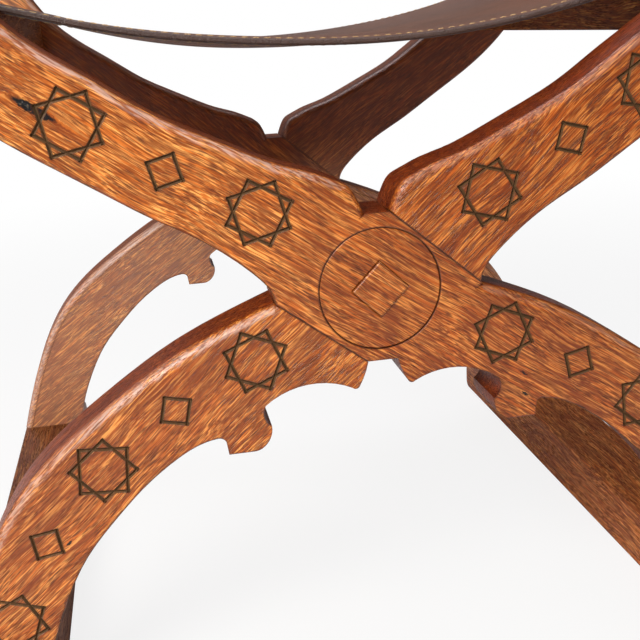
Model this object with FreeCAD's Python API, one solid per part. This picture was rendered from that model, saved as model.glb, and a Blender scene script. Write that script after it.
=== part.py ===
import FreeCAD, Part
import math
import os

from FreeCAD import Vector

# A Savonarola armchair with two fixed crossed frames, one behind the other.
# Each frame is two S-shaped planks halved together at a boss; their lower ends stand in
# two front-to-back runners and their upper ends carry the arms. A leather seat hangs
# between two rails and a leather back between two posts. Millimetres, +Z up. The origin
# is on the floor under the middle of the chair, the front faces -Y, +X is to the right.

# The chair as a whole
frame_spacing = 452.0          # outward face of the front frame to inner face of the rear one
member_thickness = 42.0        # thickness of the four crossed planks
crossing_height = 294.0        # floor to the centre of the boss

# The crossing: a six-cornered block that the two planks share
crook_reach = 68.0             # centre to the corners left and right
crook_drop = 2.8               # those corners below the centre
top_notch_height = 49.4        # centre up to the floor of the upper notch
top_notch_width = 16.2
bottom_notch_depth = 48.0      # centre down to the floor of the lower notch
bottom_notch_width = 20.0
lap_gap = 0.3                  # open joint line round each lap

# Upper half of a plank, from the crossing to the arm
arm_reach = 280.0              # centre of the chair to the middle of the upright top
arm_rise = 368.0               # crossing centre to the underside of the arm
upright_width = 45.6           # plank width where it meets the arm
upper_round = 6.0              # round-over along the upper edge
lower_round = 2.4              # eased edge along the underside

# Lower half of a plank, from the crossing to the runner
foot_reach = 299.0             # centre of the chair to the outside of the foot
foot_width = 61.0
runner_height = 48.0
leg_round = 7.0                # round-over along the outside of the leg

# Each outline runs between two corners: the crossing's own corner and the inner or outer
# corner of the upright or of the foot. Its points are shares of the way from one to the
# other, across and then up or down.
arm_upper_edge_shares = (
    (0.020, 0.038), (0.036, 0.055), (0.064, 0.067), (0.106, 0.082), (0.192, 0.104),
    (0.279, 0.133), (0.369, 0.167), (0.503, 0.221), (0.619, 0.283), (0.710, 0.330),
    (0.843, 0.419), (0.947, 0.559), (0.986, 0.719),
)
arm_lower_edge_shares = (
    (0.017, 0.030), (0.043, 0.049), (0.080, 0.071), (0.187, 0.122), (0.299, 0.163),
    (0.455, 0.227), (0.625, 0.298), (0.817, 0.407), (0.967, 0.571), (1.015, 0.759),
)
leg_outside_shares = (
    (0.106, 0.039), (0.276, 0.112), (0.485, 0.237), (0.607, 0.322), (0.736, 0.440),
    (0.828, 0.569), (0.915, 0.753), (0.973, 0.914),
)
# The underside of the leg: a pointed tip, a cusp, a cove, a ball with its heel, and the arch
tip_shares = ((0.0132, 0.0483), (0.0289, 0.0838), (0.0360, 0.0899), (0.0491, 0.0858))
cusp_shares = ((0.1666, 0.0549), (0.3026, 0.1112))
cove_shares = ((0.3105, 0.1474), (0.2895, 0.1858))
ball_shares = ((0.3044, 0.2424), (0.3509, 0.2717))
heel_shares = ((0.4175, 0.2715), (0.4219, 0.2293), (0.4289, 0.2162))
leg_arch_shares = (
    (0.446, 0.210), (0.517, 0.233), (0.578, 0.273), (0.654, 0.338), (0.751, 0.445),
    (0.851, 0.579), (0.916, 0.711), (0.969, 0.859),
)

# Carved ornament: eight-pointed stars of two crossed squares, and small squares between
groove_width = 2.4
groove_depth = 1.7
star_side = 29.8               # side of each of a star's two squares
square_side = 16.2             # side of a small square
groove_overshoot = 0.1         # the knife runs a little past each corner
# Shares of the way from the middle of the lap shoulder to the middle of the plank's end,
# and the heading of the plank there in degrees
arm_star_shares = ((0.148, 0.094, 30.4), (0.585, 0.271, 33.6), (0.934, 0.527, 65.0),
                   (1.000, 0.878, 89.0))
arm_square_shares = ((0.372, 0.181, 30.2), (0.788, 0.380, 45.0), (0.999, 0.700, 86.0))
leg_star_shares = ((0.192, 0.062, -22.5), (0.640, 0.342, -40.4), (0.940, 0.800, -71.0))
leg_square_shares = ((0.425, 0.184, -32.4), (0.820, 0.552, -53.0))

# Boss: a disc let into the outward plank, keyed by the stretcher's square tenon
boss_margin = 2.6              # wood left between the disc and the lap shoulder
disc_thickness = 10.0
disc_set_back = 0.3
disc_chamfer = 0.6
key_side = 25.9                # square tenon, set cornerwise
key_proud = 0.9
stretcher_side = 35.0
stretcher_chamfer = 5.0
stretcher_chamfer_stop = 34.0  # square wood left at each end of the chamfers
fit = 0.1                      # clearance all round tenons, discs and pegs

# Tenons of the planks
tenon_thickness = 22.0
foot_tenon_width = 30.0
foot_tenon_length = 32.0
top_tenon_width = 26.0
top_tenon_length = 14.0

# Runners
runner_overhang = 44.5         # past the frames, front and back
runner_nose = 26.0             # radius of the rounded upper corner at each end
runner_heel = 9.0              # radius of the rounded lower corner at each end
runner_round = 2.0
peg_diameter = 8.0
runner_peg_length = 46.0

# Arms
arm_thickness = 30.0
arm_front_overhang = 28.0
arm_rear_overhang = 20.0
arm_hand_width = 64.0          # at the rounded front
arm_waist_width = 50.0
arm_rear_width = 56.0
arm_round = 6.0
arm_peg_length = 38.0

# Seat rails and seat leather
rail_width = 30.0
rail_height = 40.0
rail_shares = (0.835, 0.414)   # the middle of a rail, as shares like those of the stars
rail_round = 6.0
rail_tenon_length = 24.0
rail_tenon_shoulder = 6.0
seat_leather_thickness = 4.0
seat_sag = 34.0
seat_end_gap = 4.0             # leather to frame, front and back
seat_flap_margin = 5.0         # flap stops above the underside of the rail
leather_clearance = 0.3

# Back posts and back leather
post_height = 248.0            # above the arm
post_width = 40.0
post_depth = 32.0
post_rake = 6.0                # degrees backwards
post_tenon_length = 13.0
post_round = 4.0
post_crown = 12.0              # rise of the rounded post top
back_leather_thickness = 3.5
back_leather_gap = 26.0        # arm to the lower edge of the leather
back_leather_drop = 21.0       # shoulder of the post down to the upper edge
back_sag = 16.0
back_kink_inset = 2.0

# Dome-headed nails
nail_head_diameter = 11.0
nail_head_height = 3.6
nail_shank_diameter = 2.4
nail_shank_length = 13.0
nail_hole_clearance = 0.1
seat_nail_spacing = 34.0
back_nail_spacing = 28.0
nail_edge_inset = 11.0

touch = 0.01                   # points closer than this are one point

# Worked out from the sizes above
half_depth = (frame_spacing + member_thickness) / 2
leg_drop = crossing_height - runner_height
lap_depth = member_thickness / 2
arm_underside = crossing_height + arm_rise
arm_top = arm_underside + arm_thickness
foot_centre = foot_reach - foot_width / 2
arm_outside = arm_reach + arm_rear_width / 2
back_leather_height = ((post_height - post_crown) / math.cos(math.radians(post_rake))
                       - back_leather_gap - back_leather_drop)
overrun = member_thickness     # how far cutting tools run past a face


def point(across, up):
    """A point of an outline drawn in the plane of a frame."""
    return Vector(across, 0, up)


def between(start, end, shares):
    """Points between two corners, each as shares of the way across and of the way up."""
    return [point(start.x + across * (end.x - start.x), start.z + up * (end.z - start.z))
            for across, up in shares]


def line(start, end):
    return Part.LineSegment(start, end).toShape()


def arc(start, middle, end):
    return Part.Arc(start, middle, end).toShape()


def smooth(points):
    curve = Part.BSplineCurve()
    curve.interpolate(points)
    return curve.toShape()


def smooth_after(previous, points):
    """Curve through the points that carries on from the end of the previous edge."""
    start = previous.tangentAt(previous.LastParameter)
    tangents = [start] + [Vector()] * (len(points) - 1)
    given = [True] + [False] * (len(points) - 1)
    curve = Part.BSplineCurve()
    curve.interpolate(Points=points, Tangents=tangents, TangentFlags=given)
    return curve.toShape()


def prism(edges, depth):
    """Closed outline in the frame's plane, given a thickness along +Y."""
    wire = Part.Wire(Part.__sortEdges__(edges))
    return Part.Face(wire).extrude(Vector(0, depth, 0))


def polygon(points):
    return [line(points[i - 1], points[i]) for i in range(len(points))]


def box(width, depth, height, centre, bottom):
    """Box centred on (x, y) with its underside at the given height."""
    corner = Vector(centre[0] - width / 2, centre[1] - depth / 2, bottom)
    return Part.makeBox(width, depth, height, corner)


def mirrored(shape):
    return shape.mirror(Vector(0, 0, 0), Vector(1, 0, 0))


def crossing_corners():
    """The crossing block: top notch, crook and bottom notch at the right, then the left."""
    top = top_notch_width / 2
    bottom = bottom_notch_width / 2
    right = [point(top, top_notch_height), point(crook_reach, -crook_drop),
             point(bottom, -bottom_notch_depth)]
    left = [point(-p.x, p.z) for p in reversed(right)]
    return right + left


def round_along(solid, curves, radius):
    """Rounds the front and back edges that follow the given outline curves."""
    chosen = []
    for edge in solid.Edges:
        middle = edge.valueAt((edge.FirstParameter + edge.LastParameter) / 2)
        flat = Part.Vertex(Vector(middle.x, 0, middle.z))
        ends = [vertex.Y for vertex in edge.Vertexes]
        in_face = max(ends) - min(ends) < touch
        if in_face and any(flat.distToShape(curve)[0] < touch for curve in curves):
            chosen.append(edge)
    return solid.makeFillet(radius, chosen)


def on_arm(across, up):
    """A place along the middle of the upper half of a plank, right-hand side."""
    shoulder_top, crook = crossing_corners()[:2]
    return between((shoulder_top + crook) / 2, point(arm_reach, arm_rise), [(across, up)])[0]


def on_leg(across, down):
    """A place along the middle of the lower half of a plank, right-hand side."""
    crook, notch = crossing_corners()[1:3]
    return between((crook + notch) / 2, point(foot_centre, -leg_drop), [(across, down)])[0]


def upper_half():
    """Right-hand upper half of a plank, from the lap shoulder to its top tenon."""
    shoulder_top, crook = crossing_corners()[:2]
    inner_end = point(arm_reach - upright_width / 2, arm_rise)
    outer_end = point(arm_reach + upright_width / 2, arm_rise)
    upper_points = between(shoulder_top, inner_end, arm_upper_edge_shares)
    lower_points = between(crook, outer_end, arm_lower_edge_shares)
    upper = smooth([shoulder_top] + upper_points + [inner_end])
    lower = smooth([crook] + lower_points + [outer_end])
    edges = [upper, line(inner_end, outer_end), lower, line(crook, shoulder_top)]
    solid = prism(edges, member_thickness)
    solid = round_along(solid, [upper], upper_round)
    solid = round_along(solid, [lower], lower_round)
    tenon = box(top_tenon_width, tenon_thickness, top_tenon_length,
                (arm_reach, member_thickness / 2), arm_rise)
    return solid.fuse(tenon)


def lower_half():
    """Right-hand lower half of a plank, with its cusps and scroll, down to the tenon."""
    crook, notch = crossing_corners()[1:3]
    outer_end = point(foot_reach, -leg_drop)
    inner_end = point(foot_reach - foot_width, -leg_drop)
    outside = smooth([crook] + between(crook, outer_end, leg_outside_shares) + [outer_end])
    tip, cusp, cove, ball, heel, arch_points = [
        between(notch, inner_end, shares) for shares in
        (tip_shares, cusp_shares, cove_shares, ball_shares, heel_shares, leg_arch_shares)]
    step = arc(heel[1], heel[2], arch_points[0])
    arch = smooth_after(step, arch_points + [inner_end])
    heel_sole = line(heel[0], ball[1])
    edges = [
        line(notch, crook), outside, line(outer_end, inner_end), arch, step,
        line(heel[1], heel[0]), heel_sole, arc(ball[1], ball[0], cove[1]),
        arc(cove[1], cove[0], cusp[1]), arc(cusp[1], cusp[0], tip[3]),
        arc(tip[3], tip[2], tip[1]), arc(tip[1], tip[0], notch),
    ]
    solid = prism(edges, member_thickness)
    solid = round_along(solid, [outside], leg_round)
    solid = round_along(solid, [arch, step, heel_sole], lower_round)
    tenon = box(foot_tenon_width, tenon_thickness, foot_tenon_length,
                (foot_centre, member_thickness / 2), -leg_drop - foot_tenon_length)
    return solid.fuse(tenon)


def groove(start, end):
    """V groove between two points of the carved face, run a little past both."""
    along = (end - start).normalize()
    side = along.cross(Vector(0, 1, 0))
    reach = groove_overshoot + groove_width / 2
    start = start - along * reach
    spread = groove_width / 2 * (1 + overrun / groove_depth)
    high = Vector(0, -overrun, 0)
    section = [start + high + side * spread, start + high - side * spread,
               start + Vector(0, groove_depth, 0)]
    length = (end - start).Length + reach
    return Part.Face(Part.Wire(polygon(section))).extrude(along * length)


def carved_square(centre, side, heading):
    """Four grooves round a square that points along the plank."""
    radius = side / math.sqrt(2)
    corners = []
    for quarter in range(4):
        angle = math.radians(heading + 90 * quarter)
        corners.append(centre + point(radius * math.cos(angle), radius * math.sin(angle)))
    return [groove(corners[i - 1], corners[i]) for i in range(4)]


def carved_star(centre, heading):
    return (carved_square(centre, star_side, heading)
            + carved_square(centre, star_side, heading + 45))


def ornament(place, stars, squares):
    """Grooves of one half of a plank, right-hand side."""
    tools = []
    for across, up, heading in stars:
        tools += carved_star(place(across, up), heading)
    for across, up, heading in squares:
        tools += carved_square(place(across, up), square_side, heading)
    return tools


def boss_radius():
    """The disc stays a margin inside the straight lap shoulders."""
    distances = []
    for start, end in ((0, 1), (1, 2)):
        corners = crossing_corners()
        along = (corners[end] - corners[start]).normalize()
        distances.append(corners[start].cross(along).Length)
    return min(distances) - boss_margin


def key(clearance, start, end):
    """Square key set cornerwise on the crossing axis, from one depth to another."""
    half = (key_side / 2 + clearance) * math.sqrt(2)
    corners = [point(half, 0), point(0, half), point(-half, 0), point(0, -half)]
    solid = prism(polygon(corners), end - start)
    solid.translate(Vector(0, start, 0))
    return solid


def plank(outward):
    """One plank with its carved face at y = 0. The outward one keeps the outward half of
    the crossing and runs from upper left to lower right; the other is its mirror image."""
    core = prism(polygon(crossing_corners()), lap_depth)
    neighbour = Part.Wire(polygon(crossing_corners())).makeOffset2D(lap_gap)
    room = Part.Face(neighbour).extrude(Vector(0, lap_depth + overrun, 0))
    tools = ornament(on_leg, leg_star_shares, leg_square_shares)
    arm_tools = ornament(on_arm, arm_star_shares, arm_square_shares)
    tools += [mirrored(tool) for tool in arm_tools]
    if outward:
        room.translate(Vector(0, lap_depth, 0))
        recess = Part.makeCylinder(boss_radius() + fit, disc_thickness + disc_set_back,
                                   Vector(0, 0, 0), Vector(0, 1, 0))
        tools += [recess]
    else:
        core.translate(Vector(0, lap_depth, 0))
        room.translate(Vector(0, -overrun, 0))
    solid = lower_half().fuse([mirrored(upper_half()), core]).removeSplitter()
    solid = solid.cut([room, key(fit, -overrun, member_thickness + overrun)])
    solid = solid.cut(tools)
    return solid if outward else mirrored(solid)


def mortise_for_rail(side):
    """Pocket for a seat rail's tenon in the inner face of a frame."""
    middle = on_arm(*rail_shares)
    width = rail_width - 2 * rail_tenon_shoulder + 2 * fit
    height = rail_height - 2 * rail_tenon_shoulder + 2 * fit
    return box(width, overrun, height,
               (side * middle.x, member_thickness - rail_tenon_length - fit + overrun / 2),
               middle.z - height / 2)


def peg(start, length, direction, clearance):
    return Part.makeCylinder(peg_diameter / 2 + clearance, length, start, direction)


def foot_peg(side, clearance):
    """Peg driven from outside through a runner and the foot's tenon, in the frame."""
    start = Vector(side * foot_reach, member_thickness / 2, -leg_drop - foot_tenon_length / 2)
    return peg(start, runner_peg_length, Vector(-side, 0, 0), clearance)


def top_peg(side, clearance):
    """Peg driven from outside through an arm and the plank's top tenon, in the frame."""
    start = Vector(side * arm_outside, member_thickness / 2, arm_rise + top_tenon_length / 2)
    return peg(start, arm_peg_length, Vector(-side, 0, 0), clearance)


def front_frame():
    """The two planks of a frame, drilled and mortised, with the outward face at y = 0."""
    outward = plank(True)
    inward = plank(False)
    outward = outward.cut([mortise_for_rail(-1), foot_peg(1, fit), top_peg(-1, fit)])
    inward = inward.cut([mortise_for_rail(1), foot_peg(-1, fit), top_peg(1, fit)])
    return outward, inward


def disc():
    """Boss disc, let into the outward plank a hair below its face."""
    solid = Part.makeCylinder(boss_radius(), disc_thickness, Vector(0, disc_set_back, 0),
                              Vector(0, 1, 0))
    rim = [edge for edge in solid.Edges
           if edge.BoundBox.YLength < fit and edge.CenterOfMass.y < disc_thickness / 2]
    solid = solid.makeChamfer(disc_chamfer, rim)
    return solid.cut(key(fit, -overrun, overrun))


def in_front(shape):
    """A copy of a piece of a frame, put in its place in the front frame."""
    copy = shape.copy()
    copy.translate(Vector(0, -half_depth, crossing_height))
    return copy


def at_rear(shape):
    """A copy of a piece of a frame, turned about and put in the rear frame."""
    copy = shape.copy()
    copy.rotate(Vector(0, 0, 0), Vector(0, 0, 1), 180)
    copy.translate(Vector(0, half_depth, crossing_height))
    return copy


def stretcher():
    """Bar between the two crossings, set cornerwise; its tenons key both bosses."""
    inner = half_depth - member_thickness
    half = stretcher_side / math.sqrt(2)
    corners = [point(half, 0), point(0, half), point(-half, 0), point(0, -half)]
    bar = prism(polygon(corners), 2 * inner)
    bar.translate(Vector(0, -inner, 0))
    stop = inner - stretcher_chamfer_stop
    for corner in corners:
        outward = Vector(corner).normalize()
        flat = outward.cross(Vector(0, 1, 0))
        base = corner - outward * stretcher_chamfer
        triangle = [base + flat * stretcher_chamfer, base - flat * stretcher_chamfer,
                    corner + outward * stretcher_chamfer]
        wide = [p + (p - base) for p in triangle[:2]] + [triangle[2]]
        cut = Part.Face(Part.Wire(polygon(wide))).extrude(Vector(0, 2 * stop, 0))
        cut.translate(Vector(0, -stop, 0))
        bar = bar.cut(cut)
    reach = half_depth - disc_set_back + key_proud
    bar = bar.fuse(key(0, -reach, reach)).removeSplitter()
    bar.translate(Vector(0, 0, crossing_height))
    return bar


def runner(side):
    """Sled runner under the feet of one side, with rounded ends and a flat sole."""
    reach = half_depth + runner_overhang
    shoulder = runner_height - runner_nose
    bow = 1 - math.sqrt(0.5)
    nose = [Vector(0, reach, shoulder),
            Vector(0, reach - runner_nose * bow, runner_height - runner_nose * bow),
            Vector(0, reach - runner_nose, runner_height)]
    heel = [Vector(0, reach - runner_heel, 0),
            Vector(0, reach - runner_heel * bow, runner_heel * bow),
            Vector(0, reach, runner_heel)]
    edges = [line(Vector(0, -heel[0].y, 0), heel[0]),
             line(nose[2], Vector(0, -nose[2].y, runner_height))]
    for corner in (nose, heel):
        edges += [arc(*corner), arc(*[Vector(0, -p.y, p.z) for p in corner])]
    for end in (-1, 1):
        edges.append(line(Vector(0, end * reach, runner_heel), Vector(0, end * reach, shoulder)))
    wire = Part.Wire(Part.__sortEdges__(edges))
    solid = Part.Face(wire).extrude(Vector(foot_width, 0, 0))
    solid.translate(Vector(foot_centre - foot_width / 2, 0, 0))
    top_edges = [edge for edge in solid.Edges
                 if edge.BoundBox.XLength < fit and edge.BoundBox.ZMax > shoulder + fit]
    solid = solid.makeFillet(runner_round, top_edges)
    if side < 0:
        solid = mirrored(solid)
    tools = []
    for end in (-1, 1):
        centre = (side * foot_centre, end * (half_depth - member_thickness / 2))
        tools.append(box(foot_tenon_width + 2 * fit, tenon_thickness + 2 * fit,
                         foot_tenon_length + fit, centre, runner_height - foot_tenon_length - fit))
    tools += runner_pegs(side, fit)
    return solid.cut(tools)


def runner_pegs(side, clearance):
    return [in_front(foot_peg(side, clearance)), at_rear(foot_peg(-side, clearance))]


def arm_pegs(side, clearance):
    return [in_front(top_peg(side, clearance)), at_rear(top_peg(-side, clearance))]


def arm(side):
    """Arm: straight outer side, waisted inner side, and a rounded hand at the front."""
    front = -half_depth - arm_front_overhang
    rear = half_depth + arm_rear_overhang
    outer = arm_outside
    hand = outer - arm_hand_width
    waist = outer - arm_waist_width
    back = outer - arm_rear_width
    middle = (outer + hand) / 2
    swell = arm_hand_width / 2
    inner = smooth([Vector(hand, front + swell, 0), Vector(waist, 0, 0), Vector(back, rear, 0)])
    edges = [
        line(Vector(outer, front + swell, 0), Vector(outer, rear, 0)),
        line(Vector(outer, rear, 0), Vector(back, rear, 0)), inner,
        arc(Vector(hand, front + swell, 0), Vector(middle, front, 0),
            Vector(outer, front + swell, 0)),
    ]
    wire = Part.Wire(Part.__sortEdges__(edges))
    solid = Part.Face(wire).extrude(Vector(0, 0, arm_thickness))
    rims = [edge for edge in solid.Edges if edge.BoundBox.ZLength < fit]
    solid = solid.makeFillet(arm_round, rims)
    solid.translate(Vector(0, 0, arm_underside))
    if side < 0:
        solid = mirrored(solid)
    tools = arm_pegs(side, fit)
    for end in (-1, 1):
        centre = (side * arm_reach, end * (half_depth - member_thickness / 2))
        tools.append(box(top_tenon_width + 2 * fit, tenon_thickness + 2 * fit,
                         top_tenon_length + fit, centre, arm_underside))
    rear_centre = (side * arm_reach, half_depth - member_thickness / 2)
    tools.append(box(top_tenon_width + 2 * fit, tenon_thickness + 2 * fit,
                     post_tenon_length + fit, rear_centre, arm_top - post_tenon_length - fit))
    return solid.cut(tools)


def nail(place, direction):
    """Dome-headed nail whose head sits at a place and whose shank points inwards."""
    radius = nail_head_diameter / 2
    ball = (radius ** 2 + nail_head_height ** 2) / (2 * nail_head_height)
    half_turn = math.asin(radius / ball) / 2
    bulge = point(ball * math.sin(half_turn), nail_head_height - ball * (1 - math.cos(half_turn)))
    crown = point(0, nail_head_height)
    rim = point(radius, 0)
    neck = point(nail_shank_diameter / 2, 0)
    foot = point(nail_shank_diameter / 2, -nail_shank_length)
    tip = point(0, -nail_shank_length)
    edges = [arc(crown, bulge, rim), line(rim, neck), line(neck, foot), line(foot, tip),
             line(tip, crown)]
    solid = Part.Face(Part.Wire(edges)).revolve(Vector(0, 0, 0), Vector(0, 0, 1), 360)
    turn = FreeCAD.Rotation(Vector(0, 0, 1), direction * -1)
    solid.Placement = FreeCAD.Placement(place, turn)
    return solid


def nail_hole(place, direction):
    radius = nail_shank_diameter / 2 + nail_hole_clearance
    return Part.makeCylinder(radius, nail_shank_length + fit, place, direction)


def spread(length, spacing):
    """Even places along a length, centred, no further apart than the spacing."""
    gaps = math.ceil(length / spacing)
    return [length * (i / gaps - 0.5) for i in range(gaps + 1)]


# Where the seat rails lie: centre of the chair to the middle of a rail, floor to its top
rail_reach = on_arm(*rail_shares).x
rail_top = crossing_height + on_arm(*rail_shares).z + rail_height / 2


def seat_nail_places(side):
    inner = half_depth - member_thickness
    outer = rail_reach + rail_width / 2 + leather_clearance + seat_leather_thickness
    height = rail_top - rail_height / 2
    length = 2 * (inner - seat_end_gap - nail_edge_inset)
    places = [Vector(side * outer, y, height) for y in spread(length, seat_nail_spacing)]
    return places, Vector(-side, 0, 0)


def seat_rail(side):
    """Rail between the frames with rounded upper edges and a stub tenon at each end."""
    inner = half_depth - member_thickness
    solid = box(rail_width, 2 * inner, rail_height, (side * rail_reach, 0),
                rail_top - rail_height)
    crests = [edge for edge in solid.Edges
              if edge.BoundBox.YLength > inner and edge.CenterOfMass.z > rail_top - fit]
    solid = solid.makeFillet(rail_round, crests)
    tenon = box(rail_width - 2 * rail_tenon_shoulder, 2 * (inner + rail_tenon_length),
                rail_height - 2 * rail_tenon_shoulder, (side * rail_reach, 0),
                rail_top - rail_height + rail_tenon_shoulder)
    places, direction = seat_nail_places(side)
    return solid.fuse(tenon).removeSplitter().cut([nail_hole(p, direction) for p in places])


def sling_path(offset):
    """Seat sling seen from the front at an offset from the rails: flap, rail top, sag."""
    outer = rail_reach + rail_width / 2
    inner = rail_reach - rail_width / 2
    bend = 2 * math.atan(seat_sag / (inner + rail_round))
    radius = rail_round + offset
    sag_radius = (inner + rail_round) / math.sin(bend) - radius
    level = rail_top + offset
    crest = rail_top - rail_round
    flap_end = rail_top - rail_height + seat_flap_margin

    def on_corner(centre, turn):
        return Vector(centre + radius * math.sin(turn), 0, crest + radius * math.cos(turn))

    outer_centre = outer - rail_round
    inner_centre = inner + rail_round
    low = level - (sag_radius + radius) * (1 - math.cos(bend))
    right = [
        line(Vector(outer + offset, 0, flap_end), on_corner(outer_centre, math.pi / 2)),
        arc(on_corner(outer_centre, math.pi / 2), on_corner(outer_centre, math.pi / 4),
            on_corner(outer_centre, 0)),
        line(on_corner(outer_centre, 0), on_corner(inner_centre, 0)),
        arc(on_corner(inner_centre, 0), on_corner(inner_centre, -bend / 2),
            on_corner(inner_centre, -bend)),
    ]
    belly_start = on_corner(inner_centre, -bend)
    belly_end = Vector(-belly_start.x, 0, belly_start.z)
    belly = arc(belly_start, Vector(0, 0, low), belly_end)
    return right + [belly] + [mirrored(edge) for edge in right]


def seat_leather():
    """Seat: one sheet hung between the rails and wrapped over them."""
    under = leather_clearance
    over = leather_clearance + seat_leather_thickness
    outer = rail_reach + rail_width / 2
    flap_end = rail_top - rail_height + seat_flap_margin
    ends = [line(Vector(side * (outer + under), 0, flap_end),
                 Vector(side * (outer + over), 0, flap_end)) for side in (-1, 1)]
    length = 2 * (half_depth - member_thickness - seat_end_gap)
    solid = prism(sling_path(under) + sling_path(over) + ends, length)
    solid.translate(Vector(0, -length / 2, 0))
    holes = []
    for side in (-1, 1):
        places, direction = seat_nail_places(side)
        holes += [nail_hole(p, direction) for p in places]
    return solid.cut(holes)


def up_the_post(distance):
    """Step up along the raked front face of a post."""
    rake = math.radians(post_rake)
    return Vector(0, distance * math.sin(rake), distance * math.cos(rake))


def post_front():
    """Where the front face of a post meets the top of the arm."""
    return Vector(0, half_depth - member_thickness / 2 - post_depth / 2, arm_top)


def post(side):
    """Raked back post with a rounded top and a tenon into the arm."""
    rake = math.radians(post_rake)
    rise = post_height - post_crown
    front_low = post_front()
    rear_low = front_low + Vector(0, post_depth, 0)
    front_high = front_low + Vector(0, rise * math.tan(rake), rise)
    rear_high = front_high + Vector(0, post_depth, 0)
    crown = (front_high + rear_high) / 2 + Vector(0, 0, post_crown)
    edges = [line(front_low, rear_low), line(rear_low, rear_high),
             arc(rear_high, crown, front_high), line(front_high, front_low)]
    wire = Part.Wire(Part.__sortEdges__(edges))
    solid = Part.Face(wire).extrude(Vector(post_width, 0, 0))
    solid.translate(Vector(arm_reach - post_width / 2, 0, 0))
    long_edges = [edge for edge in solid.Edges
                  if edge.BoundBox.XLength < fit and edge.BoundBox.ZMax > arm_top + fit]
    solid = solid.makeFillet(post_round, long_edges)
    tenon = box(top_tenon_width, tenon_thickness, post_tenon_length,
                (arm_reach, half_depth - member_thickness / 2), arm_top - post_tenon_length)
    solid = solid.fuse(tenon)
    if side < 0:
        solid = mirrored(solid)
    places, direction = back_nail_places(side)
    return solid.cut([nail_hole(p, direction) for p in places])


def back_nail_places(side):
    rake = math.radians(post_rake)
    outward = Vector(0, -math.cos(rake), math.sin(rake))
    middle = post_front() + up_the_post(back_leather_gap + back_leather_height / 2)
    middle = middle + outward * back_leather_thickness + Vector(side * arm_reach, 0, 0)
    length = back_leather_height - 2 * nail_edge_inset
    places = [middle + up_the_post(step) for step in spread(length, back_nail_spacing)]
    return places, outward * -1


def back_path(offset, kink):
    """Back leather seen from above: flat on each post, slack between the posts."""
    edge = arm_reach + post_width / 2 - post_round
    front = post_front().y - offset
    start = Vector(kink, front, 0)
    belly = arc(start, Vector(0, front + back_sag, 0), Vector(-kink, front, 0))
    return [line(Vector(edge, front, 0), start), belly,
            line(Vector(-kink, front, 0), Vector(-edge, front, 0))]


def back_leather():
    """Back: one sheet nailed to the raked front faces of the posts."""
    rake = math.radians(post_rake)
    kink = arm_reach - post_width / 2 - back_kink_inset
    thickness = back_leather_thickness / math.cos(rake)
    edge = arm_reach + post_width / 2 - post_round
    front = post_front().y
    ends = [line(Vector(side * edge, front, 0), Vector(side * edge, front - thickness, 0))
            for side in (-1, 1)]
    edges = back_path(0, kink) + back_path(thickness, kink) + ends
    face = Part.Face(Part.Wire(Part.__sortEdges__(edges)))
    solid = face.extrude(up_the_post(back_leather_height))
    solid.translate(Vector(0, 0, arm_top) + up_the_post(back_leather_gap))
    holes = []
    for side in (-1, 1):
        places, direction = back_nail_places(side)
        holes += [nail_hole(p, direction) for p in places]
    return solid.cut(holes)


def nails(places, direction):
    return Part.makeCompound([nail(place, direction) for place in places])


def sides():
    """Pieces that come in pairs, left and right."""
    pieces = {}
    for name, side in (("left", -1), ("right", 1)):
        pieces[name + "_runner"] = runner(side)
        pieces[name + "_runner_pegs"] = Part.makeCompound(runner_pegs(side, 0))
        pieces[name + "_seat_rail"] = seat_rail(side)
        pieces[name + "_arm"] = arm(side)
        pieces[name + "_arm_pegs"] = Part.makeCompound(arm_pegs(side, 0))
        pieces[name + "_back_post"] = post(side)
        pieces[name + "_seat_nails"] = nails(*seat_nail_places(side))
        pieces[name + "_back_nails"] = nails(*back_nail_places(side))
    return pieces


def chair():
    outward, inward = front_frame()
    pieces = {
        "front_outer_member": in_front(outward), "front_inner_member": in_front(inward),
        "rear_outer_member": at_rear(outward), "rear_inner_member": at_rear(inward),
        "front_boss_disc": in_front(disc()), "rear_boss_disc": at_rear(disc()),
        "crossing_stretcher": stretcher(),
        "seat_leather": seat_leather(), "back_leather": back_leather(),
    }
    pieces.update(sides())
    return pieces


os.makedirs("parts", exist_ok=True)
for node, shape in chair().items():
    shape.exportStep("parts/" + node + ".step")
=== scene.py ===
import math
import random

import bpy
from bpy.props import FloatProperty, FloatVectorProperty, IntProperty, PointerProperty
from mathutils import Euler, Matrix, Vector


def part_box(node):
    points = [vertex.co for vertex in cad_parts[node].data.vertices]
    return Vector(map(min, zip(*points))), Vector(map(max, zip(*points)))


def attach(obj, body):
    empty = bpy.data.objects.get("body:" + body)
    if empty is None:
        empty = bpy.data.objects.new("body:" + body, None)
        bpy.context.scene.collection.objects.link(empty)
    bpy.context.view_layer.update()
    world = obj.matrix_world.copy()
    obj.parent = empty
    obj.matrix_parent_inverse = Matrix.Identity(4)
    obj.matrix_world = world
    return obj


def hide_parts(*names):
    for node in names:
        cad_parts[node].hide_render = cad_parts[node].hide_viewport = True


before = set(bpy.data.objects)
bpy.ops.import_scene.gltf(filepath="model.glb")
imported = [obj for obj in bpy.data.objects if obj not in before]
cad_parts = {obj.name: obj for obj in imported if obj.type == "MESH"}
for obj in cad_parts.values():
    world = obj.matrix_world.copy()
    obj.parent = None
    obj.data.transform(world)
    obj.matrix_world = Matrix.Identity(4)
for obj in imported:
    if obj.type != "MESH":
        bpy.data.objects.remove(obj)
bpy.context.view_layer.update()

bl_info = {
    "name": "Savonarola Armchair",
    "version": (1, 0, 0),
    "blender": (4, 5, 0),
    "location": "View3D > Sidebar > Armchair",
    "description": "Varnished planks, slung leather and brass nails for a crossed-frame armchair",
    "category": "Object",
}

MM = 0.001
BODY = "root"


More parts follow.
